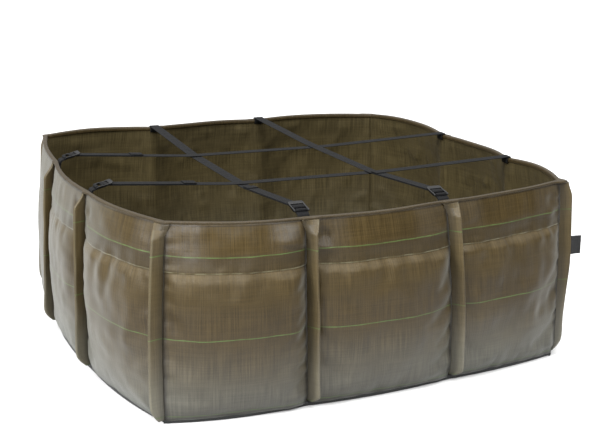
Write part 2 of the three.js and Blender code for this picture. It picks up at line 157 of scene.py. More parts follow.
def loop(name, rings, uv, material, open_after=None):
    """A skin over closed loops of points whose last joins the first.

    After loop `open_after` the skin stops, and that loop and the next are closed by flat faces instead.
    """
    rings = np.array(rings)
    rows, count = rings.shape[:2]
    faces = grid_faces(rows, count, wrap_rows=True, wrap_columns=True).tolist()
    if open_after is not None:
        ends = range(open_after * count, (open_after + 2) * count)
        faces = [f for f in faces if not set(f) <= set(ends)]
        faces.append(list(ends[:count]))
        faces.append(list(ends[count:][::-1]))
    return facing_out(make_piece(name, rings, faces, np.array(uv), material))


def at_height(plan, height):
    """Plan points raised to a height, or to one height each."""
    return np.column_stack([plan, np.broadcast_to(height, len(plan))])


def distances(points):
    """How far along a line of points each one lies."""
    return np.concatenate([[0], np.cumsum(norm(np.diff(points, axis=0), axis=1))])


def spline_weights(count, at, closed=False):
    """Matrix that reads values at 0..count-1 off at fractional places, as a Catmull-Rom spline."""
    base = at.astype(int) if closed else np.clip(at.astype(int), 0, count - 2)
    t = np.clip(at, 0, count if closed else count - 1) - base
    shares = (
        (-t + 2 * t**2 - t**3) / 2,
        (2 - 5 * t**2 + 3 * t**3) / 2,
        (t + 4 * t**2 - 3 * t**3) / 2,
        (t**3 - t**2) / 2,
    )
    weights = np.zeros((len(at), count))
    for step, share in zip((-1, 0, 1, 2), shares):
        column = (base + step) % count if closed else np.clip(base + step, 0, count - 1)
        np.add.at(weights, (np.arange(len(at)), column), share)
    return weights


def smoothed(points, closed=False):
    """An outline as a smooth curve, with one more point between each two."""
    count = len(points)
    at = np.arange(2 * count if closed else 2 * count - 1) / 2
    return spline_weights(count, at, closed) @ np.array(points)


def facing_out(piece):
    """Turns a closed piece's faces outward."""
    work = bmesh.new()
    work.from_mesh(piece.data)
    bmesh.ops.recalc_face_normals(work, faces=work.faces)
    work.to_mesh(piece.data)
    work.free()
    return piece


# ---- Materials ----
class Nodes:
    """Builds the nodes of a material or a world round its shader."""

    def __init__(self, owner, shader="Principled BSDF"):
        owner.use_nodes = True
        self.owner = owner
        self.tree = owner.node_tree
        self.shader = self.tree.nodes[shader]

    def node(self, kind, **settings):
        made = self.tree.nodes.new("ShaderNode" + kind)
        for key, value in settings.items():
            setattr(made, key, value)
        return made

    def put(self, value, socket):
        if hasattr(value, "links"):
            self.tree.links.new(value, socket)
        else:
            socket.default_value = value

    def put_all(self, values, sockets):
        for value, socket in zip(values, sockets):
            self.put(value, socket)

    def put_named(self, node, **values):
        for key, value in values.items():
            self.put(value, node.inputs[key.replace("_", " ")])

    def math(self, operation, *values):
        made = self.node("Math", operation=operation)
        self.put_all(values, made.inputs)
        return made.outputs[0]

    def plus(self, first, second):
        return self.math("ADD", first, second)

    def times(self, product, *others):
        for other in others:
            product = self.math("MULTIPLY", product, other)
        return product

    def ramp(self, value, low, high, to_low=0.0, to_high=1.0, kind="SMOOTHSTEP"):
        """`value` mapped from low..high to to_low..to_high."""
        made = self.node("MapRange", interpolation_type=kind)
        self.put_all((value, low, high, to_low, to_high), made.inputs)
        return made.outputs[0]

    def off(self, value, middle):
        return self.math("ABSOLUTE", self.math("SUBTRACT", value, middle))

    def band(self, value, middle, half_width, softness):
        """1 within half_width of middle, falling to 0 over softness."""
        return self.ramp(self.off(value, middle), half_width, half_width + softness, 1.0, 0.0)

    def mix(self, share, first, second):
        made = self.node("MixRGB")
        self.put_all((share, first, second), made.inputs)
        return made.outputs[0]

    def tint(self, colour, other, *shares):
        """`colour` mixed towards another, by the product of the shares."""
        return self.mix(self.times(*shares), colour, other)

    def split(self, vector):
        made = self.node("SeparateXYZ")
        self.put(vector, made.inputs[0])
        return made.outputs

    def place(self):
        """The place in the bag."""
        return self.node("TexCoord").outputs["Object"]

    def cloth(self):
        """The cloth's own u and v in metres."""
        return self.split(self.node("UVMap", uv_map="cloth").outputs[0])[:2]

    def noise(self, vector, scale, detail=2.0):
        made = self.node("TexNoise")
        self.put_named(made, Vector=vector, Scale=scale, Detail=detail)
        return made.outputs["Fac"]

    def streaks(self, u, v, across, along, detail=2.0):
        """Noise drawn out along v: `across` bumps a metre in u, `along` in v."""
        stretched = self.node("CombineXYZ")
        self.put_all((self.times(u, across), self.times(v, along)), stretched.inputs)
        return self.noise(stretched.outputs[0], 1.0, detail)

    def wave(self, value, pitch):
        """0 to 1, once every `pitch` metres."""
        return self.math("MULTIPLY_ADD", self.math("SINE", self.times(value, 2 * pi / pitch)), 0.5, 0.5)

    def bump(self, height, distance, strength):
        made = self.node("Bump")
        self.put_named(made, Height=height, Distance=distance, Strength=strength)
        return made.outputs[0]

    def finish(self, colour, roughness, normal, **settings):
        self.put_named(self.shader, Base_Color=colour, Roughness=roughness, Normal=normal, **settings)
        return self.owner


def material_nodes(name):
    return Nodes(bpy.data.materials.new(name))


def rgb(red, green, blue):
    """A linear colour from sRGB values of 0 to 255."""
    linear = [(c / 255 / 12.92) if c < 11 else ((c / 255 + 0.055) / 1.055) ** 2.4 for c in (red, green, blue)]
    return (*linear, 1.0)


def tape_cloth(name, warm, cool, tracers=False, place_in_bag="plain", shade=1.0, gloss=1.0):
    """Cloth woven from flat plastic tape: ribs, streaks, a fine weave and a waxy sheen, greyer low down with
    dust and a painted reflection of the floor.

    `place_in_bag` is "wall" for cloth with the cuff, painted highlights and painted crevice shade, "tuck" for
    a tuck's fold with painted shade and a painted highlight, or "plain".
    """
    n = material_nodes(name)
    u, v = n.cloth()
    place = n.place()
    height = n.split(place)[2]
    coarse = n.streaks(u, v, 90, 3, 3.0)
    fine = n.streaks(u, v, 560, 12, 1.0)
    weft = n.streaks(v, u, 380, 9, 1.0)
    blotch = n.noise(place, 9, 3.0)

    colour = n.mix(n.ramp(blotch, 0.35, 0.68), warm, [c * 0.86 for c in warm[:3]] + [1.0])
    # Greyer towards the bottom: partly dust, partly a painted reflection of the pale floor.
    floor_sheen_and_dust = n.plus(n.ramp(height, 0.19, 0.04), n.times(n.math("SUBTRACT", coarse, 0.5), 0.1))
    colour = n.tint(colour, cool, floor_sheen_and_dust, n.ramp(n.noise(place, 5), 0.25, 0.7, 0.55, 1.0), 0.8)
    if place_in_bag == "wall":
        # Painted reflection of the pale floor: bluish grey just above the ground.
        colour = n.tint(colour, rgb(86, 92, 92), n.ramp(height, 0.1, 0.02, 0.0, 0.22))
        # Painted shade: darker right at the ground.
        colour = n.tint(colour, rgb(42, 42, 36), n.ramp(height, 0.03, 0.006, 0.0, 0.5))
    streak = n.plus(n.ramp(fine, 0.25, 0.75, -0.24, 0.24), n.ramp(weft, 0.25, 0.75, -0.1, 0.1))
    scaled = n.node("VectorMath", operation="SCALE")
    n.put_all((colour, n.plus(streak, shade)), (scaled.inputs[0], scaled.inputs["Scale"]))
    colour = scaled.outputs[0]
    if tracers:
        colour = tracer_threads(n, colour, place, v)

    roughness = n.plus(n.ramp(blotch, 0.3, 0.7, 0.34, 0.46), n.ramp(fine, 0.3, 0.7, -0.06, 0.06))
    roughness = n.plus(roughness, 0.3 * (1 - gloss))
    specular = n.ramp(height, 0.24, 0.04, 0.38 * gloss, 0.8 * gloss)
    if place_in_bag == "wall":
        colour = cuff_marks(n, colour, place, u, v)
        colour = painted_glare_and_highlight(n, colour, place, v, coarse)
        # Painted shade in the crevice beside each tuck: darker close to the tuck line.
        beside_tuck = n.math("PINGPONG", u, CHORD / 2)
        colour = n.tint(colour, rgb(22, 18, 11), n.ramp(beside_tuck, 1 * MM, 15 * MM, 0.88, 0.0))
        smooth_top = n.times(n.ramp(height, 0.32, 0.35), n.ramp(beside_tuck, 60 * MM, 100 * MM, 0.0, 0.3))
        specular = n.math("SUBTRACT", specular, smooth_top)
    elif place_in_bag == "tuck":
        girth = n.math("SUBTRACT", CHORD / 2, n.math("PINGPONG", u, CHORD / 2))
        beside_fold = n.off(girth, TUCK_DEPTH)
        # Painted shade: the tuck darkens away from its fold, towards where it is stitched.
        colour = n.tint(colour, rgb(24, 21, 14), n.ramp(beside_fold, 9 * MM, 28 * MM, 0.0, 0.5))
        # Painted highlight along the tuck's fold.
        colour = n.tint(colour, rgb(120, 116, 96), n.ramp(beside_fold, 3 * MM, 0.5 * MM, 0.0, 0.25))

    warp = n.wave(u, 2.4 * MM)
    weave = n.times(warp, n.wave(v, 2.1 * MM))
    ribs = n.plus(n.times(fine, 1.4), n.times(weft, 0.5))
    relief = n.plus(ribs, n.math("MULTIPLY_ADD", warp, 0.35, n.times(weave, 0.5)))
    return n.finish(
        colour, roughness, n.bump(relief, 0.35 * MM, 0.8), Specular_IOR_Level=specular,
        Specular_Tint=n.mix(n.band(height, 0.28, 0.02, 0.04), rgb(246, 248, 252), rgb(255, 245, 225)),
        Sheen_Weight=0.05, Sheen_Roughness=0.35,
    )


def tracer_threads(n, colour, place, v):
    """Pale green threads that wander a little."""
    wobble = n.math("MULTIPLY_ADD", n.noise(place, 7), 6 * MM, n.math("SUBTRACT", v, 3 * MM))
    worn = n.ramp(n.noise(place, 60, 1.0), 0.3, 0.6, 0.6, 0.95)
    for line in TRACERS:
        colour = n.tint(colour, rgb(86, 106, 58), n.band(wobble, line, 0.5 * MM, 0.9 * MM), worn)
    return colour


def cuff_marks(n, colour, place, u, v):
    """The cuff's stitching, its pale edge, painted shade on the doubled cloth just above the edge, and the
    hem's shadow.
    """
    stitches = n.ramp(n.wave(u, 5 * MM), 0.35, 0.5)
    seam = n.band(v, CUFF_EDGE + 4 * MM, 0.3 * MM, 0.5 * MM)
    colour = n.tint(colour, rgb(34, 29, 20), seam, stitches, 0.7)
    edge = n.band(v, CUFF_EDGE + 0.6 * MM, 0.7 * MM, 0.9 * MM)
    colour = n.tint(colour, rgb(140, 138, 112), edge, n.ramp(n.noise(place, 45), 0.35, 0.65, 0.1, 0.55))
    # Painted shade on the band just above the cuff's edge.
    colour = n.tint(colour, rgb(40, 34, 22), n.band(v, CUFF_EDGE + 16 * MM, 10 * MM, 8 * MM), 0.35)
    return n.tint(colour, rgb(30, 25, 18), n.band(v, WALL_TOP - 3.5 * MM, 0.7 * MM, 1.4 * MM), 0.5)


def painted_glare_and_highlight(n, colour, place, v, coarse):
    """Painted reflection, pale where the cloth is seen at a slant, and a painted highlight where it faces up.
    """
    slant = n.node("LayerWeight").outputs["Facing"]
    # Painted reflection: paler where the cloth is seen at a slant.
    colour = n.tint(colour, rgb(178, 180, 174), n.ramp(slant, 0.35, 0.95, 0.0, 0.33))
    # Painted highlight where the cloth faces up, tan below the cuff and bluish above.
    upward = n.split(n.node("NewGeometry").outputs["Normal"])[2]
    tilt = n.math("SUBTRACT", upward, n.ramp(v, 0.315, 0.33, 0.0, 0.12))
    upward_highlight = n.times(n.ramp(tilt, 0.2, 0.5), n.ramp(coarse, 0.25, 0.7, 0.6, 1.0),
                   n.ramp(n.noise(place, 30), 0.35, 0.65, 0.03, 0.13), n.ramp(v, 0.32, 0.34, 1.0, 0.5))
    return n.mix(upward_highlight, colour, n.mix(n.ramp(v, 0.315, 0.33), rgb(142, 128, 102), rgb(165, 172, 178)))


def webbing_material(name, base, light):
    """Woven polypropylene webbing: ribs across, fine diagonal yarns, lighter worn patches, and edges painted
    lighter as a highlight.
    """
    n = material_nodes(name)
    u, v = n.cloth()
    ribs = n.wave(v, 1.7 * MM)
    yarns = n.wave(n.plus(u, n.times(v, 0.5)), 1.1 * MM)
    wear = n.ramp(n.noise(n.place(), 70, 3.0), 0.35, 0.75)
    # Painted highlight: the webbing is lighter towards its edges.
    edges = n.ramp(n.math("ABSOLUTE", u), 0.3 * WEBBING_WIDTH, 0.5 * WEBBING_WIDTH)
    colour = n.mix(n.math("MULTIPLY_ADD", wear, 0.4, n.times(edges, 0.35)), base, light)
    colour = n.tint(colour, light, ribs, 0.25)
    normal = n.bump(n.plus(ribs, n.times(yarns, 0.6)), 0.3 * MM, 0.8)
    return n.finish(colour, n.ramp(wear, 0, 1, 0.62, 0.75), normal, Specular_IOR_Level=0.22)


def moulded_plastic(name, base, light):
    """Matt moulded nylon: fine grain, shinier rubbed patches."""
    n = material_nodes(name)
    grain = n.noise(n.place(), 2600)
    rubbed = n.noise(n.place(), 130, 3.0)
    colour = n.mix(n.ramp(rubbed, 0.45, 0.75, 0.0, 0.5), base, light)
    return n.finish(colour, n.ramp(rubbed, 0.4, 0.7, 0.42, 0.28), n.bump(grain, 0.05 * MM, 0.5))


def label_material():
    """A blank woven damask label: fine satin weave, faded in patches."""
    n = material_nodes("label_weave")
    u, v = n.cloth()
    weave = n.times(n.wave(u, 0.5 * MM), n.wave(v, 0.35 * MM))
    colour = n.mix(n.ramp(n.noise(n.place(), 160), 0.35, 0.7, 0.0, 0.6), rgb(12, 12, 13), rgb(24, 25, 26))
    return n.finish(colour, 0.72, n.bump(weave, 0.12 * MM, 0.7), Sheen_Weight=0.2)


# ---- The plan of the walls, read from the frame ----
FIRST_CORNER = atan2(-1.01, -1)  # pieces are counted counterclockwise from just before the front left corner


def angle_of(node):
    low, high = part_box(node)
    middle = (low + high) / 2
    return (atan2(middle.y, middle.x) - FIRST_CORNER) % (2 * pi)


TUCK_NODES = sorted((n for n in frame["nodes"] if n.startswith("tuck_")), key=angle_of)
WALL_NODES = sorted((n for n in frame["nodes"] if n.startswith("wall_")), key=angle_of)
TUCKS = len(TUCK_NODES)


def rings_of(node):
    """The node's points, as (height, array of x and y) for each height that holds any."""
    points = np.round([v.co for v in frame["nodes"][node].data.vertices], 5)
    return [(z, points[points[:, 2] == z][:, :2]) for z in np.unique(points[:, 2])]


def smooth_curve(heights, values, degree=4):
    return np.polynomial.Polynomial.fit(heights, values, degree)


class TuckLine:
    """Where a tuck is stitched, and which way it stands out, at any height."""

    def __init__(self, node):
        heights, lines, angles = [], [], []
        for z, points in rings_of(node):
            nearest = points[np.argmin(np.hypot(*points.T))]
            root = points[np.hypot(*(points - nearest).T) < 5 * MM].mean(0)
            tip = points[np.argmax(np.hypot(*(points - root).T))]
            way = (tip - root) / np.hypot(*(tip - root))
            heights.append(z)
            lines.append(root + way * CAD_TUCK_START)
            angles.append(atan2(way[1], way[0]))
        self.x = smooth_curve(heights, [p[0] for p in lines])
        self.y = smooth_curve(heights, [p[1] for p in lines])
        self.angle = smooth_curve(heights, np.unwrap(angles), 2)

    def at(self, z):
        return np.stack([self.x(z), self.y(z)], -1)


LINES = [TuckLine(node) for node in TUCK_NODES]


def line_at(index, z):
    return LINES[index % TUCKS].at(z)


def crown_of(index):
    """How far the middle of a panel stands out from its chord, as a function of height."""
    heights, crowns = [], []
    for z, points in rings_of(WALL_NODES[index]):
        start = line_at(index, z)
        along = line_at(index + 1, z) - start
        outward = np.array([along[1], -along[0]]) / np.hypot(*along)
        crown = ((points - start) @ outward).max()
        heights.append(z)
        crowns.append(crown - CUFF_THICKNESS if z > CUFF_EDGE - MM / 5 else crown)
    return smooth_curve(heights, crowns)


CROWNS = [crown_of(index) for index in range(TUCKS)]


# The rim of these panels rides up in the middle.
RIM_LIFT = {
    "wall_back_left": 4 * MM, "wall_back_right": 2 * MM,
    "wall_right_back": 7 * MM, "wall_right_front": 5 * MM,
}


# These panels swell and crease less than the others. The number is the share of it that is left.
FIRM_PANELS = {"wall_left_back": 0.2, "wall_left_middle": 0.6, "wall_left_front": 0.7, "wall_front_left": 0.7}


def firmness(index):
    return FIRM_PANELS.get(WALL_NODES[index % TUCKS], 1)


def panel_point(index, u, z, out, fullness=FULLNESS):
    """A point u (0 to 1) along a panel at height z, moved `out` from the panel's plain outer face."""
    start = line_at(index, z)
    along = line_at(index + 1, z) - start
    length = norm(along, axis=-1, keepdims=True)
    outward = np.stack([along[..., 1], -along[..., 0]], -1) / length
    crown = CROWNS[index % TUCKS](z)[..., None]
    u = np.asarray(u)[..., None]
    off_middle = 2 * u - 1
    power = 2 + fullness * firmness(index) * ease(RIM - z, 20 * MM, 130 * MM)[..., None]
    slope = -2 * power * np.abs(off_middle) ** (power - 1) * np.sign(off_middle)
    tangent = along + outward * crown * slope
    tangent = tangent / norm(tangent, axis=-1, keepdims=True)
    normal = np.stack([tangent[..., 1], -tangent[..., 0]], -1)
    hump = 1 - np.abs(off_middle) ** power
    lift = RIM_LIFT.get(WALL_NODES[index % TUCKS], 0) * hump[..., 0] * ease(z, 0.25, RIM)
    out = np.asarray(out) - ROLL_IN * ease(-z, -46 * MM, -SEAM) ** 2
    plan = start + along * u + outward * crown * hump + normal * out[..., None]
    return np.concatenate([plan, (z + lift)[..., None]], -1)


CHORD = float(np.mean([norm(line_at(i + 1, 0.2) - line_at(i, 0.2)) for i in range(TUCKS)]))


# ---- The materials of this bag ----
WARM = rgb(68, 56, 32)
# The greyer colour the cloth turns towards low down, partly dust and partly a painted reflection of the
# floor.
COOL = rgb(95, 93, 81)
wall_cloth = tape_cloth("wall_cloth", WARM, COOL, tracers=True, place_in_bag="wall")
# Painted light: the tucks are the walls' cloth, painted lighter to stand in for the light they catch.
tuck_cloth = tape_cloth("tuck_cloth", rgb(71, 61, 40), COOL, tracers=True, place_in_bag="tuck", shade=1.42)
hem_cloth = tape_cloth("hem_cloth", WARM, WARM, shade=0.8)
base_cloth = tape_cloth("base_cloth", rgb(44, 43, 37), rgb(40, 42, 40), shade=0.64)
lining_cloth = tape_cloth("lining_cloth", rgb(77, 68, 44), rgb(72, 66, 46), shade=0.9, gloss=0.4)
webbing = webbing_material("black_webbing", rgb(6, 6, 7), rgb(20, 21, 23))
plastic = moulded_plastic("buckle_plastic", rgb(7, 7, 8), rgb(20, 21, 23))
label_cloth = label_material()


# ---- The filled panels, settled by cloth simulation ----
SIM_STEP = 8 * MM
SIM_FRAMES = 22
SIM_GROWTH = 0.012  # the sewn-in cloth is this much larger than the space it fills
PUFF_CAP = 15 * MM


def panel_grid(index, step):
    """(u, height) of a grid of points over a panel, and their places and outward directions."""
    u = np.linspace(0, 1, round(CHORD / step) + 1)
    heights = np.linspace(SEAM, WALL_TOP, round((WALL_TOP - SEAM) / step) + 1)
    us, zs = np.meshgrid(u, heights, indexing="ij")
    face = panel_point(index, us, zs, 0 * us)
    normal = (panel_point(index, us, zs, 0 * us + MM) - face) / MM
    return us, zs, face, normal


def sewn_share(us, zs):
    """How firmly each point is held: fully at the panel's edges, partly along the cuff's stitching."""
    share = bell(zs, CUFF_EDGE + 4 * MM, 5 * MM) * 0.3
    border = (us == 0) | (us == 1) | (zs == zs.min()) | (zs == zs.max())
    return np.where(border, 1.0, share)


def panel_cloth(index):
    """One panel as a cloth sheet, sewn at its edges and pushed out by the soil."""
    us, zs, face, normal = panel_grid(index, SIM_STEP)
    start = face + normal * (waves(us * CHORD, zs, 40 * MM, 800 + index) * 0.6 * MM)[..., None]
    sheet = make_piece(f"sheet_{index}", start, grid_faces(*us.shape), np.stack([us, zs], -1), wall_cloth)
    taut = 0.85 * ease(zs, CUFF_EDGE - 12 * MM, CUFF_EDGE + 6 * MM) + 0.3 * ease(-zs, -0.12, -0.03)
    for name, shares in (("sewn", sewn_share(us, zs)), ("taut", taut)):
        group = sheet.vertex_groups.new(name=name)
        for number, share in enumerate(shares.ravel()):
            group.add([number], float(share), "REPLACE")
    cloth = sheet.modifiers.new("cloth", "CLOTH")
    cloth.point_cache.frame_start = 1
    cloth.point_cache.frame_end = SIM_FRAMES
    settings = dict(
        quality=6, mass=0.25, tension_stiffness=30, compression_stiffness=30, shear_stiffness=12,
        bending_stiffness=10, air_damping=3, shrink_min=-SIM_GROWTH, shrink_max=0, vertex_group_shrink="taut",
        vertex_group_mass="sewn", pin_stiffness=1, use_pressure=True, uniform_pressure_force=SOIL_PUSH,
    )
    for key, value in settings.items():
        setattr(cloth.settings, key, value)
    cloth.settings.effector_weights.gravity = 0.3
    return sheet


def settled_puffs():
    """For each panel, how far out the simulated cloth settles, on its own grid."""
    sheets = [panel_cloth(index) for index in range(TUCKS)]
    scene = bpy.context.scene
    for step in range(1, SIM_FRAMES + 1):
        scene.frame_set(step)
    graph = bpy.context.evaluated_depsgraph_get()
    puffs = []
    for index, sheet in enumerate(sheets):
        us, _, face, normal = panel_grid(index, SIM_STEP)
        mesh = sheet.evaluated_get(graph).data
        settled = np.zeros(len(mesh.vertices) * 3)
        mesh.vertices.foreach_get("co", settled)
        out = ((settled.reshape(*us.shape, 3) - face) * normal).sum(-1)
        puffs.append(PUFF_CAP * np.tanh(out / PUFF_CAP))
    for sheet in sheets:
        bpy.data.objects.remove(sheet)
    scene.frame_set(1)
    return puffs


def puff_at(index, u, z):
    """The settled cloth's offset at any (u, height) grid."""
    puff = PUFFS[index % TUCKS]
    across = spline_weights(puff.shape[0], u[:, 0] * (puff.shape[0] - 1))
    upward = spline_weights(puff.shape[1], (z[0] - SEAM) / (WALL_TOP - SEAM) * (puff.shape[1] - 1))
    return across @ puff @ upward.T


# ---- Walls ----
def wall_relief(index, u, z):
    """How far the filled cloth stands proud of the plain panel: lumps, pinches, puckers and creases."""
    seed = 10 * index
    s = u * CHORD
    edge = np.minimum(u, 1 - u) * CHORD  # distance from the nearer tuck
    inside = ease(edge, 0, 35 * MM)
    out = puff_at(index, u, z) * (1 - 0.6 * ease(z, CUFF_EDGE, CUFF_EDGE + 25 * MM))
    out += waves(s, z, 110 * MM, seed) * 2.4 * MM * inside * ease(z, 0, 0.06) * ease(-z, -WALL_TOP, -0.33)
    out += waves(s, z, 45 * MM, seed + 1) * 0.7 * MM * inside
    # Below the cuff the soil swells the panel, most of all at middle height.
    down = np.clip((CUFF_EDGE - z) / (CUFF_EDGE - SEAM), 0, 1)
    out += SWELL * 2.85 * down**0.7 * (1 - down) ** 0.8 * (1 - (2 * u - 1) ** 4)
    # The cuff's stitched edge pulls the cloth in, and it puffs and puckers just below.
    pull = np.where(z < CUFF_EDGE, bell(z, CUFF_EDGE, 8 * MM), bell(z, CUFF_EDGE, 30 * MM))
    out -= pull * 3.0 * MM * inside
    below = CUFF_EDGE - 20 * MM
    puff = np.where(z < below, bell(z, below, 75 * MM), bell(z, below, 14 * MM))
    out += puff * (3.5 + 1.6 * waves(s, z * 0.4, 70 * MM, seed + 2)) * MM * inside
    pucker = bell(z, CUFF_EDGE - 13 * MM, 14 * MM) * ease(waves(s, 0, 110 * MM, seed + 3), -0.4, 0.6)
    out += pucker * waves(s + 0.35 * z, z * 0.3, 19 * MM, seed + 4) * 1.3 * MM
    # The tucks gather the cloth: short creases run out of each stitched line.
    gather = np.exp(-edge / (17 * MM)) * ease(edge, 1 * MM, 7 * MM)
    out += gather * waves(s * 0.25, z, 24 * MM, seed + 5) * 2.6 * MM
    for side, near in ((0, u), (1, 1 - u)):
        out += corner_creases(index, side, near * CHORD, z) * ease(edge, 0, 10 * MM)
    second_layer = CUFF_THICKNESS * ease(z, CUFF_EDGE - 1.2 * MM, CUFF_EDGE + 1.2 * MM)
    return (out * firmness(index) + second_layer) * ease(WALL_TOP - z, -2 * MM, 20 * MM)


# How strongly (shelf, dent) the cloth is pinched beside some tucks, by panel and by which of its ends.
LARGE_PINCHES = {
    ("wall_front_left", 0): (0.1, 0.3),
    ("wall_front_left", 1): (3.0, 0.1),
    ("wall_front_middle", 0): (0.1, 1.4),
    ("wall_front_middle", 1): (0.7, 0.3),
    ("wall_front_right", 0): (0.6, 0.4),
    ("wall_front_right", 1): (0.2, 0.5),
}


def corner_creases(index, side, x, z):
    """Pinches beside the tucks' tops and creases at the ground, x along from one tuck."""
    drop = WALL_TOP - z
    chance = float(waves(index + side * 5.3, 1.7, 3.0, 77))
    usual = (max(0.25, 0.6 + 0.5 * chance), max(0.25, 0.7 - 0.6 * chance))
    shelf_strength, dent_strength = LARGE_PINCHES.get((WALL_NODES[index % TUCKS], side), usual)
    shelf = ease(drop, 0, 44 * MM) - 0.6 * ease(drop + 0.2 * x, 50 * MM, 64 * MM)
    shelf *= bell(x, 40 * MM, 30 * MM)
    dent = bell(x, 36 * MM, 15 * MM) * bell(drop, 34 * MM, 14 * MM)
    lip = bell(x, 38 * MM, 17 * MM) * bell(drop - 0.25 * x, 50 * MM, 6 * MM)
    top = (shelf * 7.5 * shelf_strength + (lip * 3.6 - dent * 7.5) * dent_strength) * MM
    fan = ease(-z, -105 * MM, -20 * MM) * bell(x, 34 * MM, 32 * MM)
    ground = fan * np.sin((x * 0.9 - z * 0.6) / (7.5 * MM) + 10 * index + side) * 1.3 * MM
    fold = ease(drop, 95 * MM, 130 * MM) * ease(-drop, -300 * MM, -210 * MM) * bell(x, 62 * MM, 42 * MM)
    long_folds = fold * np.sin((x + 0.28 * z) / (15 * MM) + 13 * index + side) * 1.0 * MM
    return top + ground + long_folds


def backing(relief):
    """The offset of the cloth's inner face: flat, but pushed in where the outer face dents."""
    return np.minimum(-FABRIC, relief - 0.7 * FABRIC)


def wall_panel(index):
    node = WALL_NODES[index]
    u = np.linspace(1 * MM, CHORD - 1 * MM, round(CHORD / GRID) + 1) / CHORD
    heights = np.arange(SEAM, WALL_TOP, GRID)
    detail = [CUFF_EDGE + k * MM for k in (-1.5, -0.5, 0.5, 1.5)]
    heights = np.unique(np.concatenate([heights[abs(heights - CUFF_EDGE) > 2.4 * MM], detail, [WALL_TOP]]))
    u, z = np.meshgrid(u, heights, indexing="ij")
    relief = wall_relief(index, u, z)
    outer, inner = (panel_point(index, u, z, out) for out in (relief, backing(relief)))
    piece = shell(node + "_cloth", outer, inner, np.stack([(u + index) * CHORD, z], -1), wall_cloth)
    finish_piece(piece, node)


def finish_piece(piece, node, body="bag"):
    """The piece stands for a node and rides on one body."""
    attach(piece, body)
    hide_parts(node)


def finish_blended(piece, node, start, end):
    """The piece stands for a node, with its place baked into its points; start and end are not used."""
    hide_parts(node)
    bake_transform(piece)


# ---- Tucks ----
# These tucks are not pressed flat at the hem. The number is how much of their depth is lost there.
STANDING_TUCKS = {"tuck_corner_front_right": 0.28, "tuck_corner_back_left": 0.75,
                  "tuck_left_back_middle": 0.7, "tuck_left_middle_front": 0.7}
FLAT_BACK = 9 * MM  # at the hem a tuck is pressed flat and reaches this far behind its own line
SHORT_FOOT = 16 * MM  # how high the rounding of a tuck's foot starts
LONG_FOOT = 42 * MM  # the same on the corners and the side walls


def lean_side(index):
    """1 where a tuck leans towards the next panel, -1 where it leans back."""
    past = line_at(index + 1, RIM) - line_at(index - 1, RIM)
    outward = atan2(-past[0], past[1])
    lean = (LINES[index].angle(RIM) - outward + pi) % (2 * pi) - pi
    return 1 if lean >= 0 else -1


def tuck_profile():
    """Cross-section of a tuck, counterclockwise, as (out, side) in metres."""
    bend = smoothed(FOLD_PROFILE)
    return np.concatenate([bend, bend[-2::-1] * (1, -1)]) * MM


def lying_flat(index, across, proud, z):
    """Points of the wall's face at signed distances along it from a tuck line, raised by `proud`."""
    height = np.full(len(across), z)
    here = panel_point(index, np.clip(across, 0, None) / CHORD, height, proud)
    before = panel_point(index - 1, 1 + np.clip(across, None, 0) / CHORD, height, proud)
    return np.where(across[:, None] >= 0, here, before)[:, :2]


def tuck_piece(index):
    node = TUCK_NODES[index]
    profile = tuck_profile()
    foot = SHORT_FOOT if node.startswith("tuck_front") else LONG_FOOT
    lowest = 8 * MM if node == "tuck_corner_front_left" else 14 * MM
    side_way = lean_side(index)
    lost_at_top = STANDING_TUCKS.get(node, 0)
    girth = distances(profile) + (index + 0.5) * CHORD
    flat_across = side_way * (profile[:, 0] * 1.15 - FLAT_BACK)
    flat_proud = CUFF_THICKNESS + 2.4 * MM + profile[:, 1] * side_way * 0.6
    rings, uv = [], []
    for z in np.arange(lowest, WALL_TOP + 1 * MM, 3 * MM):
        flat = 0 if lost_at_top else float(np.clip((z - WALL_TOP) / (25 * MM) + 1.08, 0, 1))
        angle = LINES[index].angle(z) + waves(z, 0.0, 170 * MM, 500 + index) * radians(2)
        depth = 1 + 0.012 * waves(z, 0.4, 90 * MM, 600 + index)
        depth -= 0.55 * (1 - np.clip((z - lowest) / foot, 0, 1)) ** 2.2
        depth -= lost_at_top * ease(z, WALL_TOP - 34 * MM, WALL_TOP)
        if node == "tuck_corner_front_right":
            depth -= 0.42 * ease(-z, -0.26, -0.07)
        thick = 1 + 0.1 * waves(z, 0.9, 75 * MM, 700 + index)
        way = np.array([cos(angle), sin(angle)])
        across = np.array([-way[1], way[0]])
        root = lying_flat(index, np.zeros(1), np.zeros(1), z)
        standing = root + profile[:, :1] * depth * way + profile[:, 1:] * thick * across
        lying = lying_flat(index, flat_across, flat_proud, z)
        rings.append(at_height((1 - flat) * standing + flat * lying, z))
        uv.append(at_height(girth, z))
    piece = tube(node + "_cloth", np.array(rings), np.array(uv), tuck_cloth)
    finish_piece(piece, node)


# ---- Hem, base and lining ----
def loop_frame(z):
    """Right round the bag at one height: (points, outward unit vectors, distance along, index + u, lift)."""
    count = round(CHORD / (6 * MM))
    u = np.arange(count) / count
    level = np.full(count, z)
    face, proud = (
        np.vstack([panel_point(index, u, level, np.full(count, out), 0.0) for index in range(TUCKS)])
        for out in (0.0, MM)
    )
    points = face[:, :2]
    normals = (proud - face)[:, :2] / MM
    for _ in range(2):  # round the turn at each tuck line
        normals = (np.roll(normals, 1, 0) + 2 * normals + np.roll(normals, -1, 0)) / 4
    normals /= norm(normals, axis=1, keepdims=True)
    places = np.concatenate([index + u for index in range(TUCKS)])
    return points, normals, distances(points), places, face[:, 2] - z


def over_tucks(places):
    """How far the hem's outer side stands out where it passes over the tucks."""
    extra = np.zeros(len(places))
    for index, node in enumerate(TUCK_NODES):
        from_line = (places - index + TUCKS / 2) % TUCKS - TUCKS / 2
        x = from_line * CHORD * lean_side(index)
        if node in STANDING_TUCKS:
            extra += (22 * (1 - STANDING_TUCKS[node]) - 1) * MM * bell(x, 0, 11 * MM)
        else:
            extra += 4.5 * MM * ease(x, -13 * MM, -8 * MM) * (1 - ease(x, 25 * MM, 31 * MM))
    return extra


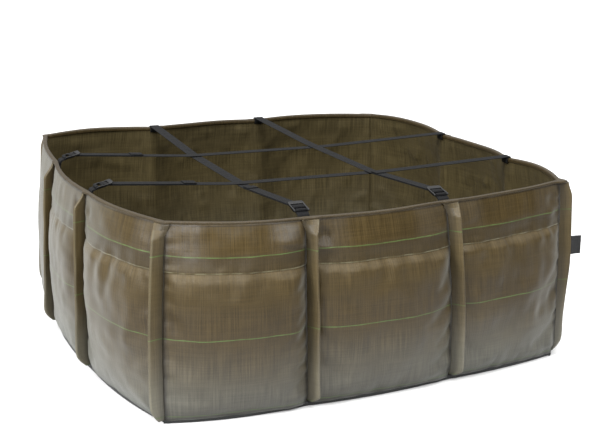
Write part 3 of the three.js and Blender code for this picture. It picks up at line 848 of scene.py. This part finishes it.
def rim_hem():
    """The folded hem, a band right round the rim."""
    points, normals, distance, places, lifts = loop_frame(RIM)
    section = [(1.2, -5.2), (2.3, -4.6), (2.6, -3.0), (2.0, -1.0), (0.4, -0.1), (-3, 0), (-5.8, -0.5),
               (-7.2, -2.6), (-7.4, -6), (-6.8, -9), (-5.8, -9.4), (-5.2, -5.6)]
    section = smoothed(section, closed=True) * MM
    height = RIM + lifts + waves(distance, 0, 170 * MM, 40) * 0.7 * MM
    rings, uv = [], []
    for (out, rise), girth in zip(section, distances(section)):
        proud = out + over_tucks(places) if out >= -1 * MM else np.full(len(places), out)
        rings.append(at_height(points + normals * proud[:, None], height + rise))
        uv.append(at_height(distance, girth))
    finish_piece(loop("rim_hem_cloth", rings, uv, hem_cloth), "rim_binding")


def base_piece():
    """The base tray: a rolled edge below the walls and a floor."""
    points, normals, distance = loop_frame(SEAM)[:3]
    edge = [(-1.5, 11), (-0.4, 10), (0.6, 8), (0.8, 5.5), (0.2, 2.4), (-1.2, 0.6), (-4, 0), (-40, 0)]
    inside = [(-40, 2.2), (-6.5, 2.4), (-5.0, 4), (-4.5, 11)]
    rings, uv = [], []
    for out, height in edge + inside:
        lumps = waves(distance, 0, 60 * MM, 50) * 0.5 * MM if 2 < height < 11 else 0
        rings.append(at_height(points + normals * out * MM, height * MM + lumps))
        uv.append(at_height(distance, (height + abs(out)) * MM))
    piece = loop("base_tray_cloth", rings, uv, base_cloth, open_after=len(edge) - 1)
    finish_piece(piece, "base_tray")


def lining_side(node, side):
    """The lining of one side, over three panels."""
    columns = round(CHORD / (8 * MM))
    outer, inner, uv = [], [], []
    z = np.unique(np.concatenate([np.arange(SEAM, WALL_TOP, 8 * MM), [WALL_TOP]]))
    for panel in range(3):
        index = 3 * side + panel
        u = np.linspace(0, 1, columns + 1)[: columns + (panel == 2)]
        us, zs = np.meshgrid(u, z, indexing="ij")
        along = (us + index) * CHORD
        edge = np.minimum(us, 1 - us) * CHORD
        soft = waves(along, zs, 70 * MM, 300 + index) * 1.6 * MM * ease(edge, 0, 30 * MM)
        soft += waves(along, zs, 26 * MM, 320 + index) * 0.6 * MM * ease(edge, 0, 10 * MM)
        puckers = np.exp(-edge / (14 * MM)) * waves(0, zs, 22 * MM, 340 + index) * 1.2 * MM
        inward = (np.maximum(0, soft + puckers) + 0.8 * MM) * ease(WALL_TOP - zs, 6 * MM, 30 * MM)
        back = backing(wall_relief(index, us, zs)) - LAYER_GAP
        outer.append(panel_point(index, us, zs, back))
        inner.append(panel_point(index, us, zs, back - LINING - inward * 1.6))
        uv.append(np.stack([along, zs], -1))
    outer, inner, uv = (np.concatenate(part) for part in (outer, inner, uv))
    finish_piece(shell(node + "_cloth", outer, inner, uv, lining_cloth), node)


def lining_floor():
    """The lining's floor, with soft rucks in it."""
    points, normals, _ = loop_frame(SEAM)[:3]
    low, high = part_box("lining_floor")
    edge_plan = points - normals * 6.5 * MM
    middle = 0.02
    rings, uv = [], []
    for share in np.linspace(1, middle, 36):
        plan = edge_plan * share
        ruck = waves(*plan.T, 120 * MM, 900) * 2.2 * MM + waves(*plan.T, 45 * MM, 901) * 0.7 * MM
        turned_up = 6 * MM * ease(share, 0.965, 1)
        rings.append(at_height(plan, high.z + 2.6 * MM + ruck * ease(1 - share, 0, 0.08) + turned_up))
        uv.append(plan)
    top = len(rings) - 1
    for share in (middle, 1.0):
        rings.append(at_height(edge_plan * share, low.z))
        uv.append(edge_plan * share)
    piece = loop("lining_floor_cloth", rings, uv, lining_cloth, open_after=top)
    finish_piece(piece, "lining_floor")


# ---- Straps ----
def joint_named(name):
    return next(joint for joint in frame["joints"] if joint["name"] == name)


class StrapPlace:
    """A strap's own frame: x runs in from its near tuck line at the rim, y across it, z up."""

    def __init__(self, name):
        self.name = name
        self.bar = Vector(joint_named("buckle_tilt_" + name)["pos_m"])
        on_plan = Vector((*self.bar.xy, 0))
        ends = [Vector((*line_at(i, RIM), 0)) for i in range(TUCKS)]
        self.near = min(ends, key=lambda p: (p - on_plan).length)
        inward = on_plan - self.near
        self.bar_x = inward.length
        self.inward = inward.normalized()
        self.across = Vector((0, 0, 1)).cross(self.inward)
        away = [p - self.near for p in ends]
        far = max(away, key=lambda way: way.dot(self.inward) - 3 * abs(way.dot(self.across)))
        self.span = far.dot(self.inward)

    def point(self, x, y, z):
        return self.near + self.inward * x + self.across * y + Vector((0, 0, z))


class FarEnd(StrapPlace):
    """The same strap seen from its far tuck line."""

    def __init__(self, place):
        self.near = place.near + place.inward * place.span
        self.inward = -place.inward
        self.across = -place.across


def band_rings(path, width, thickness, place):
    """Rings of a flat band with rounded edges along a list of (x, z) points."""
    path = np.array(path)
    tangent = np.gradient(path, axis=0)
    tangent /= norm(tangent, axis=1, keepdims=True)
    normal = np.column_stack([-tangent[:, 1], tangent[:, 0]])
    half, t = width / 2, thickness / 2
    section = [(-half + t, -t), (-half / 3, -t), (half / 3, -t), (half - t, -t),
               (half - t * 0.3, -t * 0.7), (half, 0), (half - t * 0.3, t * 0.7)]
    section += [(-y, -rise) for y, rise in section]
    rings, uv = [], []
    for p, n, d in zip(path, normal, distances(path)):
        rings.append([place.point(p[0] + n[0] * rise, y, p[1] + n[1] * rise) for y, rise in section])
        uv.append([(y, d) for y, _ in section])
    return np.array(rings), np.array(uv)


def band(name, path, place, width=WEBBING_WIDTH):
    return tube(name, *band_rings(path, width, WEBBING, place), webbing)


def line_points(a, b, spacing=6 * MM):
    """Points from a towards b, without b."""
    a, b = np.array(a), np.array(b)
    count = max(2, round(dist(a, b) / spacing))
    return [a + (b - a) * k / count for k in range(count)]


def arc_points(centre, radius, start, end, steps=12):
    angles = np.radians(np.linspace(start, end, steps))
    return [(centre[0] + radius * cos(a), centre[1] + radius * sin(a)) for a in angles]


def rounded(points, radius, spacing=6 * MM):
    """A polyline with its corners rounded."""
    points = [np.array(p, float) for p in points]
    result = points[:1]
    for before, corner, after in zip(points, points[1:], points[2:]):
        back, onward = before - corner, after - corner
        reach = min(radius, norm(back) / 2.2, norm(onward) / 2.2)
        enter, leave = (corner + way / norm(way) * reach for way in (back, onward))
        result += line_points(result[-1], enter, spacing)[1:]
        for t in np.linspace(0, 1, max(3, int(2 * reach / spacing)) + 1):
            result.append((1 - t) ** 2 * enter + 2 * t * (1 - t) * corner + t * t * leave)
    result += line_points(result[-1], points[-1], spacing)[1:] + points[-1:]
    kept = result[:1]
    for p in result[1:]:
        if norm(p - kept[-1]) > 0.4 * MM:
            kept.append(p)
    return kept


BAR_CLEAR = 3.0 * MM  # centre of the middle bar to the middle of the webbing round it
TILT = radians(12)
REAR_ALONG = -14 * MM  # from the middle bar, along the tilted buckle
LEVEL_BEYOND = 325 * MM  # a strap dips over this length from each rim, and is level between


def on_buckle(place, along, rise):
    """A point of the buckle's side view in the strap's frame."""
    x = place.bar_x + along * cos(TILT) - rise * sin(TILT)
    z = place.bar.z + along * sin(TILT) + rise * cos(TILT)
    return x, z


def strap_run(place):
    """Webbing round the buckle's middle bar, across the bag and onto the far anchor."""
    name = place.name
    x, z = place.bar_x, place.bar.z
    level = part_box("strap_" + name)[0].z + WEBBING / 2
    end_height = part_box("end_anchor_" + name)[1].z + WEBBING / 2 + 0.2 * MM
    path = arc_points((x, z), BAR_CLEAR, 95, 285, 14)
    path += rounded(
        [(x + 2.4 * MM, z - 2.0 * MM), (x + 6 * MM, z + 0.55 * MM), (LEVEL_BEYOND, level),
         (place.span - LEVEL_BEYOND, level), (place.span - 10 * MM, end_height - 0.6 * MM),
         (place.span + 1 * MM, end_height)], 26 * MM, 9 * MM)
    finish_piece(band(f"strap_{name}_webbing", path, place), "strap_" + name)


def strap_tail(place):
    """The free tail, along the run from the middle bar to its folded end."""
    node = "tail_" + place.name
    low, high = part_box(node)
    way = -Vector(joint_named("tail_slide_" + place.name)["axis"])
    slope = way.z / hypot(*way.xy)
    corners = [Vector((x, y, 0)) - place.near for x in (low.x, high.x) for y in (low.y, high.y)]
    x, z = place.bar_x, place.bar.z + BAR_CLEAR
    length = max(c.dot(place.inward) for c in corners) - x - 1 * MM
    end_x, end_z = x + length, z + slope * length
    fold = 28 * MM
    back_end = (end_x - fold, end_z + 2.0 * MM - slope * fold)
    path = line_points((x, z), (end_x, end_z))
    path += [(end_x, end_z), (end_x + 1.2 * MM, end_z + 0.6 * MM), (end_x + 0.9 * MM, end_z + 1.7 * MM)]
    path += line_points((end_x - 0.2 * MM, end_z + 2.0 * MM), back_end, 4 * MM) + [back_end]
    piece = band(node + "_webbing", path, place, width=WEBBING_WIDTH - 0.6 * MM)
    finish_blended(piece, node,
                   place.point(x + 4 * MM, 0, z), place.point(end_x - 1.2 * fold, 0, end_z))


def buckle_loop(place):
    """Webbing sewn inside the wall, up and round the buckle's rear bar and down again."""
    node = "buckle_loop_" + place.name
    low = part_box(node)[0].z
    x, z = on_buckle(place, REAR_ALONG, 0)
    foot = lining_face(place, low) + 1.6 * MM
    top = lining_face(place) + 2 * MM
    path = rounded([(foot + 1.9 * MM, low), (top + 1.9 * MM, RIM - 6 * MM), (top + 5.5 * MM, RIM + 1.5 * MM),
                    (x + 2.4 * MM, z - 3.0 * MM)], 8 * MM, 4 * MM)
    path += arc_points((x, z), 3.2 * MM, -48, 238, 16)
    path += rounded([(x - 2.6 * MM, z - 2.6 * MM), (top + 2.6 * MM, RIM + 2.6 * MM),
                     (top - 0.1 * MM, RIM - 5 * MM), (foot, low + 2 * MM)], 8 * MM, 4 * MM)
    piece = band(node + "_webbing", path, place)
    finish_blended(piece, node,
                   place.point(top + 3 * MM, 0, RIM + 2 * MM), place.point(x - 4 * MM, 0, z - 2.5 * MM))


def lining_face(place, z=RIM):
    """The lining's inner face at a height, as x in the strap's frame."""
    index = int(np.argmin([norm(line_at(i, RIM) - np.array(place.near.xy)) for i in range(TUCKS)]))
    moved = line_at(index, z) - line_at(index, RIM)
    return Vector((*moved, 0)).dot(place.inward) + FABRIC + LAYER_GAP + LINING


def bar_rings(place, along, radius, half_length):
    """A round bar across the buckle, with softened ends."""
    x, z = on_buckle(place, along, 0)
    end = [(1, 0.55), (0.985, 0.9), (0.95, 1), (0.5, 1)]
    rings = []
    for share, size in [(-share, size) for share, size in end] + [(0, 1)] + end[::-1]:
        angles = [-2 * pi * k / 14 for k in range(14)]
        rings.append([place.point(x + radius * size * cos(a), half_length * share,
                                  z + radius * size * sin(a)) for a in angles])
    return np.array(rings)


def rail_rings(place, y, width, outline):
    """One side rail: its side view swept across its width, with rounded rims."""
    outline = np.array(outline)
    middle = outline.mean(0)
    rings = []
    for share, size in ((-1, 0.78), (-0.8, 0.95), (-0.4, 1), (0.4, 1), (0.8, 0.95), (1, 0.78)):
        ring = []
        for p in outline:
            along, rise = middle + (p - middle) * np.array([0.985 if size < 1 else 1, size])
            x, z = on_buckle(place, along * MM, rise * MM)
            ring.append(place.point(x, y + share * width / 2, z))
        rings.append(ring)
    return np.array(rings)


def join_closed(name, parts, material):
    """Several closed skins in one mesh, joined by booleans into one body."""
    first, *others = [tube(f"{name}_{k}", rings, rings[..., :2], material) for k, rings in enumerate(parts)]
    first.name = name
    bpy.context.view_layer.objects.active = first
    for other in others:
        union = first.modifiers.new("join", "BOOLEAN")
        union.operation = "UNION"
        union.solver = "EXACT"
        union.object = other
    bpy.context.view_layer.update()
    evaluated = first.evaluated_get(bpy.context.evaluated_depsgraph_get())
    joined = bpy.data.meshes.new_from_object(evaluated)
    first.modifiers.clear()
    first.data = joined
    for other in others:
        bpy.data.objects.remove(other)
    with bpy.context.temp_override(object=first, active_object=first, selected_objects=[first],
                                   selected_editable_objects=[first]):
        bpy.ops.object.shade_smooth_by_angle(angle=radians(38))
    return first


def buckle(place):
    """A ladder-lock: two side rails, a rear bar, a middle bar and a raised front tab."""
    clear = WEBBING_WIDTH / 2 + 0.9 * MM
    rail_width = 3.4 * MM
    underside = [(-17.2, -1.0), (-16.2, -2.3), (-13.5, -2.7), (-6, -2.6), (2, -2.3), (9, -1.0), (14.5, -0.2)]
    tip = [(18.6, 1.4), (19.4, 2.6), (18.4, 3.6)]
    upper = [(14, 3.2), (8, 2.5), (0, 2.6), (-8, 2.7), (-14, 2.5), (-16.6, 1.4)]
    tab = [(12.6, 0.3), (13.0, 2.0), (14.6, 2.9), (17.4, 3.7), (20.4, 4.4),
           (21.2, 3.9), (21.0, 2.9), (18, 1.6), (15, 0.4), (13.4, -0.2)]
    parts = [rail_rings(place, side * (clear + rail_width / 2), rail_width, underside + tip + upper)
             for side in (-1, 1)]
    parts += [bar_rings(place, along, radius, clear + rail_width * 0.8)
              for along, radius in ((REAR_ALONG, 2.2 * MM), (0, 1.8 * MM))]
    parts.append(rail_rings(place, 0, 2 * clear + rail_width, tab))
    piece = join_closed(f"buckle_{place.name}_ladder_lock", parts, plastic)
    finish_piece(piece, "buckle_" + place.name, "buckle_" + place.name)


def end_anchor(place):
    """The far end: webbing that comes up inside the wall and over the rim, under the strap."""
    node = "end_anchor_" + place.name
    far = FarEnd(place)
    bottom = RIM - 13 * MM
    over_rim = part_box(node)[1].z - WEBBING / 2
    top = lining_face(far)
    path = rounded([(lining_face(far, bottom) + 2 * MM, bottom), (top + 3.2 * MM, RIM - 8 * MM),
                    (top + 1.4 * MM, over_rim), (-2.5 * MM, over_rim)], 3.5 * MM, 3 * MM)
    finish_piece(band(node + "_webbing", path, far), node)


# ---- Label ----
def label_piece():
    """A blank folded label, sewn into the fold of the front right tuck."""
    seam = Vector(joint_named("label_flap")["pos_m"])
    low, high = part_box("label")
    half = (low + high).xy / 2 - seam.xy
    width = 2 * half.length
    way = Vector((*half.normalized(), 0))
    up = Vector((0, 0, 1))
    height = high.z - low.z
    x = np.linspace(-3 * MM, width, 14)
    z = np.linspace(-height / 2, height / 2, 22)
    xs, zs = np.meshgrid(x, z, indexing="ij")
    share = np.clip(xs / width, 0, 1)
    bow = np.sin(share * pi * 0.8) * 1.6 * MM + waves(xs, zs, 30 * MM, 5) * 0.5 * MM * ease(xs, 0, width)
    thick = 0.55 * MM * np.sqrt(np.clip(1 - share**6, 0.05, 1))

    def face(side):
        parts = ((xs, way), (bow + side * thick, up.cross(way)), (zs, up))
        return np.array(seam) + sum(part[..., None] * np.array(axis) for part, axis in parts)

    piece = facing_out(shell("label_woven", face(-1), face(1), np.stack([xs, zs], -1), label_cloth))
    finish_blended(piece, "label", seam - way * 1.5 * MM, seam + way * 5 * MM)


# ---- Stage ----
def floor_material():
    """Pale to the camera and greyer to the light it throws back."""
    n = material_nodes("studio_floor")
    pale = n.mix(n.ramp(n.noise(n.place(), 1.5), 0.3, 0.7), rgb(250, 250, 250), rgb(253, 253, 253))
    colour = n.mix(n.node("LightPath").outputs["Is Camera Ray"], rgb(186, 186, 186), pale)
    return n.finish(colour, 0.8, n.bump(n.noise(n.place(), 400), 0.02 * MM, 0.2), Specular_IOR_Level=0.1)


def studio_floor():
    size = 30
    rim = [(-size, -size, 0), (size, -size, 0), (size, size, 0), (-size, size, 0)]
    floor = make_piece("studio_floor", rim, [(0, 1, 2, 3)], [(x, y) for x, y, _ in rim], floor_material())


def area_light(name, place, target, size, watts, colour=(1, 1, 1)):
    data = bpy.data.lights.new(name, "AREA")
    data.shape = "RECTANGLE"
    data.size, data.size_y = size
    data.energy = watts
    data.color = colour
    light = bpy.data.objects.new(name, data)
    light.location = place
    light.rotation_euler = (Vector(target) - Vector(place)).to_track_quat("-Z", "Y").to_euler()
    bpy.context.scene.collection.objects.link(light)


def studio_world():
    """A white tent: bright overhead and from the left, darker in front; pure white to the camera."""
    world = bpy.data.worlds.new("studio")
    n = Nodes(world, "Background")
    x, _, z = n.split(n.node("TexCoord").outputs["Generated"])
    lit = n.plus(n.ramp(z, 0.0, 1.0, 0.1, 1.7), n.ramp(x, 0.2, -1.0, 0.0, 0.5, "LINEAR"))
    seen = n.node("Mix")
    n.put_all((n.node("LightPath").outputs["Is Camera Ray"], lit, 1.0), [seen.inputs[k] for k in (0, 2, 3)])
    n.put_named(n.shader, Color=(1, 1, 1, 1), Strength=seen.outputs[0])
    bpy.context.scene.world = world


def studio_lights():
    area_light("key_left", (-3.8, -1.4, 2.6), (0, 0, 0.2), (1.6, 1.6), 165)
    area_light("front", (-0.9, -3.9, 3.0), (0, 0, 0.2), (1.2, 1.2), 66)
    area_light("top", (0.3, -1.6, 3.6), (0, -0.3, 0.3), (1.4, 1.4), 45)


CAMERA_ANGLES = (24.173, 14.527, 0.598)  # azimuth, elevation and roll, in degrees
CAMERA_DISTANCE = 3.28
CAMERA_LENS = 82.66
AIM_RIGHT = 36.8 * MM  # where the camera looks, from the middle of the bag's axis
AIM_UP = 48 * MM


def studio_camera():
    azimuth, elevation, roll = (radians(angle) for angle in CAMERA_ANGLES)
    level = cos(elevation)
    look = Vector((sin(azimuth) * level, cos(azimuth) * level, -sin(elevation)))
    right = look.cross(Vector((0, 0, 1))).normalized()
    up = right.cross(look)
    target = Vector((0, 0, RIM / 2)) + right * AIM_RIGHT + up * AIM_UP
    data = bpy.data.cameras.new("camera")
    data.lens = CAMERA_LENS
    data.sensor_width = 36
    camera = bpy.data.objects.new("camera", data)
    turned_right = right * cos(roll) + up * sin(roll)
    turned_up = up * cos(roll) - right * sin(roll)
    rotation = Matrix((turned_right, turned_up, -look)).transposed().to_4x4()
    camera.matrix_world = Matrix.Translation(target - look * CAMERA_DISTANCE) @ rotation
    bpy.context.scene.collection.objects.link(camera)
    bpy.context.scene.camera = camera


# ---- Build ----
PUFFS = settled_puffs()
for index in range(TUCKS):
    wall_panel(index)
    tuck_piece(index)
rim_hem()
base_piece()
for side, side_name in enumerate(("front", "right", "back", "left")):
    lining_side("lining_" + side_name, side)
lining_floor()
for joint in frame["joints"]:
    if joint["name"].startswith("buckle_tilt_"):
        place = StrapPlace(joint["name"].removeprefix("buckle_tilt_"))
        strap_run(place)
        strap_tail(place)
        buckle_loop(place)
        buckle(place)
        end_anchor(place)
label_piece()

bpy.context.scene.view_settings.view_transform = "Standard"
studio_floor()
studio_world()
studio_lights()
studio_camera()
